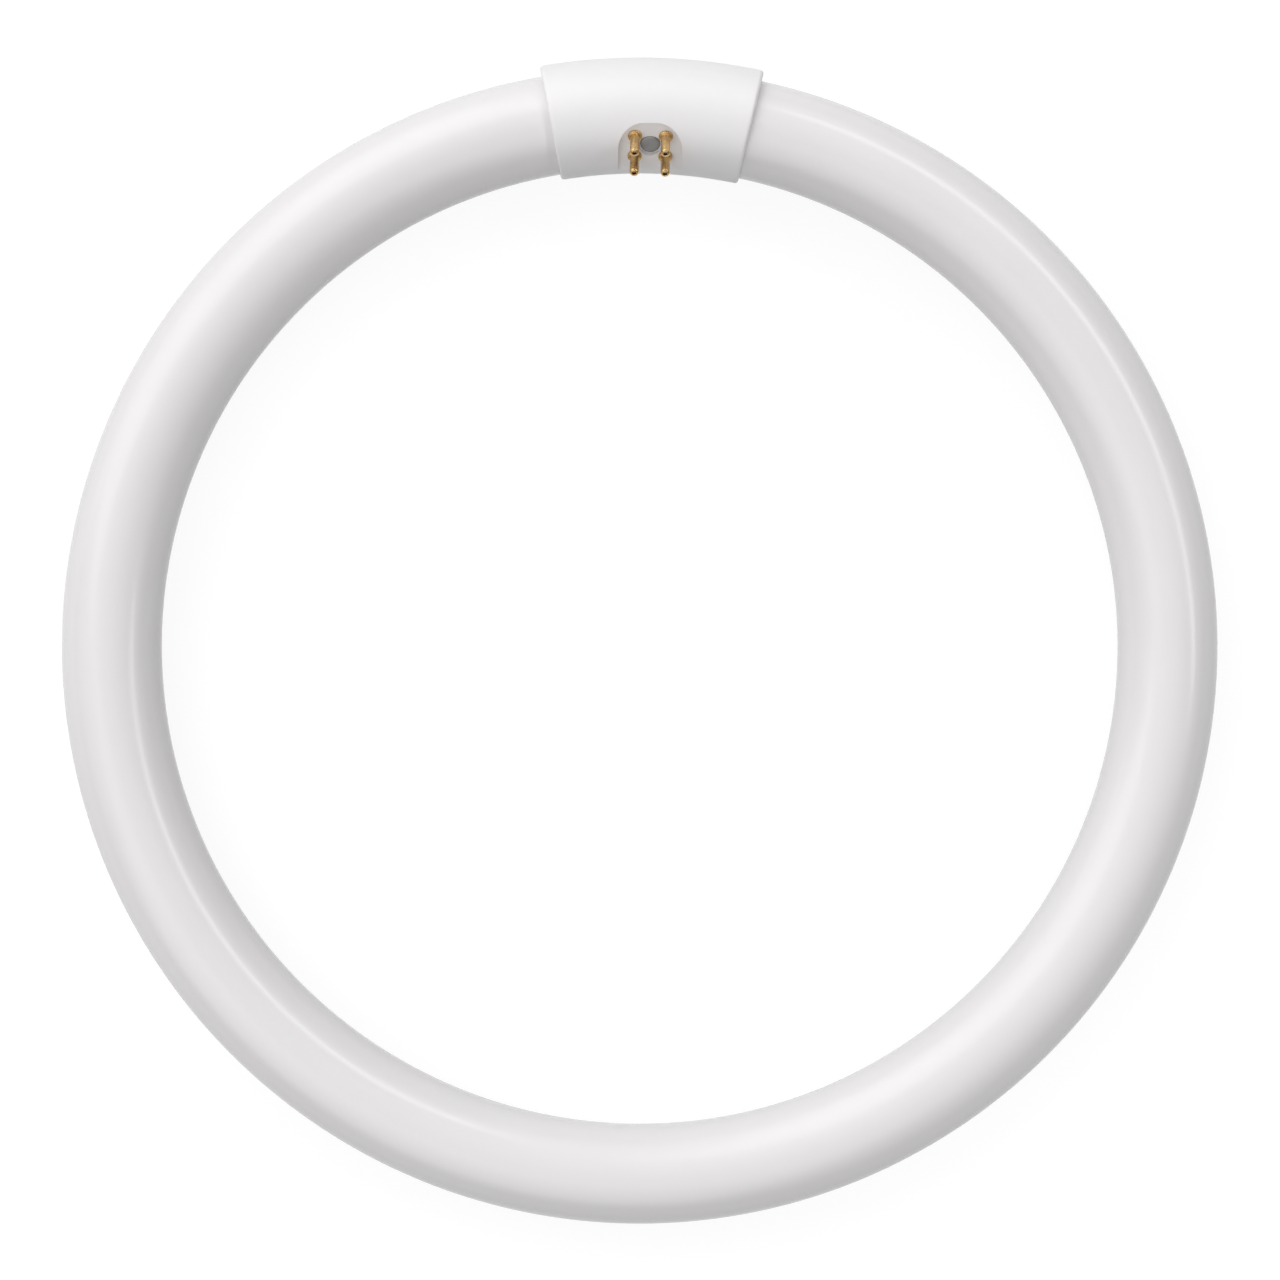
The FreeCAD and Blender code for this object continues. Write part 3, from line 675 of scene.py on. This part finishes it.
def mottle_group():
    tints = [("Pale", "NodeSocketColor", (0.9, 0.9, 0.9, 1)), ("Deep", "NodeSocketColor", (0.8, 0.8, 0.8, 1))]
    amounts = [("Scale", "NodeSocketFloat", 60.0), ("Smooth", "NodeSocketFloat", 0.2)]
    amounts.append(("Rough", "NodeSocketFloat", 0.3))
    group, start, end = new_group(
        "mottle", tints + amounts, [("Color", "NodeSocketColor"), ("Roughness", "NodeSocketFloat")]
    )
    place = add_node(group, "ShaderNodeTexCoord")
    clouds = add_node(group, "ShaderNodeTexNoise", Detail=5.0, Roughness=0.6)
    tint = group.nodes.new("ShaderNodeMix")
    tint.data_type = "RGBA"
    gloss = group.nodes.new("ShaderNodeMapRange")
    gloss.inputs["From Min"].default_value = 0.3
    gloss.inputs["From Max"].default_value = 0.7
    link = group.links.new
    link(place.outputs["Object"], clouds.inputs["Vector"])
    link(start.outputs["Scale"], clouds.inputs["Scale"])
    link(clouds.outputs["Fac"], tint.inputs["Factor"])
    link(start.outputs["Deep"], tint.inputs["A"])
    link(start.outputs["Pale"], tint.inputs["B"])
    link(clouds.outputs["Fac"], gloss.inputs["Value"])
    link(start.outputs["Smooth"], gloss.inputs["To Min"])
    link(start.outputs["Rough"], gloss.inputs["To Max"])
    link(tint.outputs["Result"], end.inputs["Color"])
    link(gloss.outputs["Result"], end.inputs["Roughness"])
    return group


def grain_group():
    inputs = [("Scale", "NodeSocketFloat", 1500.0), ("Stretch", "NodeSocketVector", (1, 1, 1))]
    group, start, end = new_group("grain", inputs, [("Height", "NodeSocketFloat")])
    place = add_node(group, "ShaderNodeTexCoord")
    lean = add_node(group, "ShaderNodeMapping")
    lean.inputs["Rotation"].default_value = (-PIN_TILT, 0, 0)
    stretch = group.nodes.new("ShaderNodeVectorMath")
    stretch.operation = "MULTIPLY"
    grains = add_node(group, "ShaderNodeTexNoise", Detail=3.0, Roughness=0.55)
    link = group.links.new
    link(place.outputs["Object"], lean.inputs["Vector"])
    link(lean.outputs["Vector"], stretch.inputs[0])
    link(start.outputs["Stretch"], stretch.inputs[1])
    link(stretch.outputs["Vector"], grains.inputs["Vector"])
    link(start.outputs["Scale"], grains.inputs["Scale"])
    link(grains.outputs["Fac"], end.inputs["Height"])
    return group


MOTTLE = mottle_group()
GRAIN = grain_group()
print("Node groups:", MOTTLE.name, "and", GRAIN.name)

# %% [markdown]
# ## Finishes
# Every finish is a Principled shader whose colour and gloss come from the mottle group and whose
# bump comes from the grain group. The coated glass is white powder seen through clear glass, so it
# has a pale colour and a fairly smooth gloss. The cap is white satin plastic, the pins are brass that
# has gone a little brown, and the rivet is dull steel.

# %% Mix the finishes
EVEN = (1, 1, 1)


def finish_of(name, pale, deep, smooth, rough, clouds, grains, stretch, depth):
    """A material with mottled colour and gloss and a fine bump, depth being the bump's height."""
    material = bpy.data.materials.new(name)
    material.use_nodes = True
    tree = material.node_tree
    shader = tree.nodes["Principled BSDF"]
    mottle = add_node(tree, "ShaderNodeGroup")
    mottle.node_tree = MOTTLE
    mottle.inputs["Pale"].default_value = (*pale, 1)
    mottle.inputs["Deep"].default_value = (*deep, 1)
    mottle.inputs["Scale"].default_value = clouds
    mottle.inputs["Smooth"].default_value = smooth
    mottle.inputs["Rough"].default_value = rough
    grain = add_node(tree, "ShaderNodeGroup")
    grain.node_tree = GRAIN
    grain.inputs["Scale"].default_value = grains
    grain.inputs["Stretch"].default_value = stretch
    bump = add_node(tree, "ShaderNodeBump", Distance=depth)
    link = tree.links.new
    link(mottle.outputs["Color"], shader.inputs["Base Color"])
    link(mottle.outputs["Roughness"], shader.inputs["Roughness"])
    link(grain.outputs["Height"], bump.inputs["Height"])
    link(bump.outputs["Normal"], shader.inputs["Normal"])
    return material, shader


coated_glass, shader = finish_of(
    "white_coated_glass",
    pale=(0.87, 0.852, 0.861),
    deep=(0.84, 0.822, 0.831),
    smooth=0.2,
    rough=0.26,
    clouds=45,
    grains=160,
    stretch=EVEN,
    depth=0.01 * MM,
)
shader.inputs["Specular IOR Level"].default_value = 0.42
cap_plastic, shader = finish_of(
    "white_plastic",
    pale=(0.92, 0.906, 0.912),
    deep=(0.895, 0.882, 0.887),
    smooth=0.36,
    rough=0.46,
    clouds=120,
    grains=2600,
    stretch=EVEN,
    depth=0.012 * MM,
)
shader.inputs["Specular IOR Level"].default_value = 0.45
pin_brass, shader = finish_of(
    "drawn_brass",
    pale=(0.8, 0.56, 0.27),
    deep=(0.56, 0.34, 0.13),
    smooth=0.2,
    rough=0.36,
    clouds=420,
    grains=2200,
    stretch=(1, 1, 0.12),
    depth=0.012 * MM,
)
shader.inputs["Metallic"].default_value = 1.0
rivet_steel, shader = finish_of(
    "dull_steel",
    pale=(0.42, 0.42, 0.42),
    deep=(0.26, 0.26, 0.26),
    smooth=0.38,
    rough=0.55,
    clouds=500,
    grains=2200,
    stretch=(1, 0.15, 1),
    depth=0.02 * MM,
)
shader.inputs["Metallic"].default_value = 1.0
lead_metal, shader = finish_of(
    "lead_wire_metal",
    pale=(0.6, 0.55, 0.5),
    deep=(0.42, 0.36, 0.3),
    smooth=0.3,
    rough=0.45,
    clouds=400,
    grains=1800,
    stretch=EVEN,
    depth=0.01 * MM,
)
shader.inputs["Metallic"].default_value = 1.0

painted = [(glass, coated_glass), (cap_front, cap_plastic), (cap_back, cap_plastic), (rivet, rivet_steel)]
painted += [(pin, pin_brass) for pin in pins.values()]
painted += [(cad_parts[f"lead_wire_{index}"], lead_metal) for index in PIN_PLACES]
for piece, material in painted:
    piece.data.materials.clear()
    piece.data.materials.append(material)
print("Painted pieces:", len(painted))

# %% [markdown]
# ## Floor
# The lamp lies on a white floor. The cap is thicker than the glass, so the ring rests on the cap's ends
# and the far side of the glass, and the floor leans by less than half a degree against the frame. The
# floor's own light makes it white in the picture, and the lamps still draw the lamp's soft shadow on
# it.

# %% Lay the floor
CAP_LOW = -CAP_RADIUS
GLASS_LOW = -TUBE_RADIUS
CAP_ENDS = CAP_CENTRE * math.cos(CAP_REACH)
FLOOR_SIZE = 6.0
floor_lean = math.atan2(CAP_LOW - GLASS_LOW, CAP_ENDS + RING_RADIUS)
floor_height = GLASS_LOW + math.tan(floor_lean) * RING_RADIUS
let_go()
bpy.ops.mesh.primitive_plane_add(size=FLOOR_SIZE, location=(0, 0, floor_height), rotation=(floor_lean, 0, 0))
floor = bpy.context.object
floor.name = "floor"

FLOOR_GREY = 0.18
FLOOR_GLOW = 0.88
floor_white = bpy.data.materials.new("floor_white")
floor_white.use_nodes = True
tree = floor_white.node_tree
tree.nodes.remove(tree.nodes["Principled BSDF"])
matt = add_node(tree, "ShaderNodeBsdfDiffuse", Color=(FLOOR_GREY, FLOOR_GREY, FLOOR_GREY, 1))
glow = add_node(tree, "ShaderNodeEmission", Color=(1, 1, 1, 1))
both = add_node(tree, "ShaderNodeAddShader")
path = add_node(tree, "ShaderNodeLightPath")
seen = add_node(tree, "ShaderNodeMath")
seen.operation = "MAXIMUM"
seen_at_all = add_node(tree, "ShaderNodeMath")
seen_at_all.operation = "MAXIMUM"
strength = add_node(tree, "ShaderNodeMath")
strength.operation = "MULTIPLY"
strength.inputs[1].default_value = FLOOR_GLOW
link = tree.links.new
link(path.outputs["Is Camera Ray"], seen.inputs[0])
link(path.outputs["Is Glossy Ray"], seen.inputs[1])
link(seen.outputs["Value"], seen_at_all.inputs[0])
link(path.outputs["Is Transmission Ray"], seen_at_all.inputs[1])
link(seen_at_all.outputs["Value"], strength.inputs[0])
link(strength.outputs["Value"], glow.inputs["Strength"])
link(matt.outputs["BSDF"], both.inputs[0])
link(glow.outputs["Emission"], both.inputs[1])
link(both.outputs["Shader"], tree.nodes["Material Output"].inputs["Surface"])
floor.data.materials.append(floor_white)
print("Floor leans by", round(math.degrees(floor_lean), 2), "degrees")

# %% [markdown]
# ## Light
# The ring is lit as in a studio. Its two sides are equally bright, so the lamps stand far away and are
# large. Three soft boxes in the upper left light the outside of the ring there and the inside across
# from it. A long, narrow strip on the right draws the thin highlight along the glass. The largest box,
# in front, fills the shade in the cap's window without a highlight of its own.

# %% Set the lamps
LAMP_DISTANCE = 5.0
ROOM_LIGHT = 0.2


def soft_box(name, clock, lean, size, power):
    """An area lamp that looks at the ring. Clock is the angle from the cap, lean the one from the axis."""
    let_go()
    clock = math.radians(clock)
    lean = math.radians(lean)
    outwards = math.sin(lean) * LAMP_DISTANCE
    place = (math.sin(clock) * outwards, math.cos(clock) * outwards, math.cos(lean) * LAMP_DISTANCE)
    bpy.ops.object.light_add(type="AREA", location=place, rotation=(lean, 0, math.pi - clock))
    lamp = bpy.context.object
    lamp.name = name
    lamp.data.shape = "RECTANGLE"
    lamp.data.size, lamp.data.size_y = size
    lamp.data.energy = power


soft_box("key_soft_box", clock=315, lean=50, size=(5.6, 3.75), power=128)
soft_box("low_soft_box", clock=315, lean=80, size=(6.9, 1.25), power=45)
soft_box("top_soft_box", clock=350, lean=65, size=(5.6, 2.5), power=27)
soft_box("right_strip", clock=55, lean=49, size=(6.25, 0.75), power=84)
soft_box("front_soft_box", clock=205, lean=40, size=(6.25, 5.0), power=104)

world = bpy.data.worlds.new("pale_room")
scene.world = world
world.use_nodes = True
room = world.node_tree.nodes["Background"]
room.inputs["Color"].default_value = (1, 1, 1, 1)
room.inputs["Strength"].default_value = ROOM_LIGHT

# %% [markdown]
# ## Camera
# The photograph looks straight down the ring's axis, from about three ring diameters, and the cap is
# turned a little clockwise. The ring's centre is a few pixels below the middle of the picture.

# %% Place the camera
PICTURE = 1280
CAMERA_HEIGHT = 0.9
PICTURE_WIDTH = 0.33267
CAP_TURN = math.radians(1.2)
PIXELS_DOWN = 5.85
PIXELS_LEFT = 0.25
SENSOR_WIDTH = 36
CENTRE_DOWN = PIXELS_DOWN * PICTURE_WIDTH / PICTURE
CENTRE_LEFT = PIXELS_LEFT * PICTURE_WIDTH / PICTURE
right = (math.cos(CAP_TURN), math.sin(CAP_TURN))
up = (-math.sin(CAP_TURN), math.cos(CAP_TURN))
place = [CENTRE_LEFT * r + CENTRE_DOWN * u for r, u in zip(right, up)]
let_go()
bpy.ops.object.camera_add(location=(*place, CAMERA_HEIGHT), rotation=(0, 0, CAP_TURN))
camera = bpy.context.object
camera.name = "photo_camera"
camera.data.sensor_width = SENSOR_WIDTH
camera.data.lens = SENSOR_WIDTH * CAMERA_HEIGHT / PICTURE_WIDTH
scene.camera = camera
print("Lens:", round(camera.data.lens, 1), "mm")
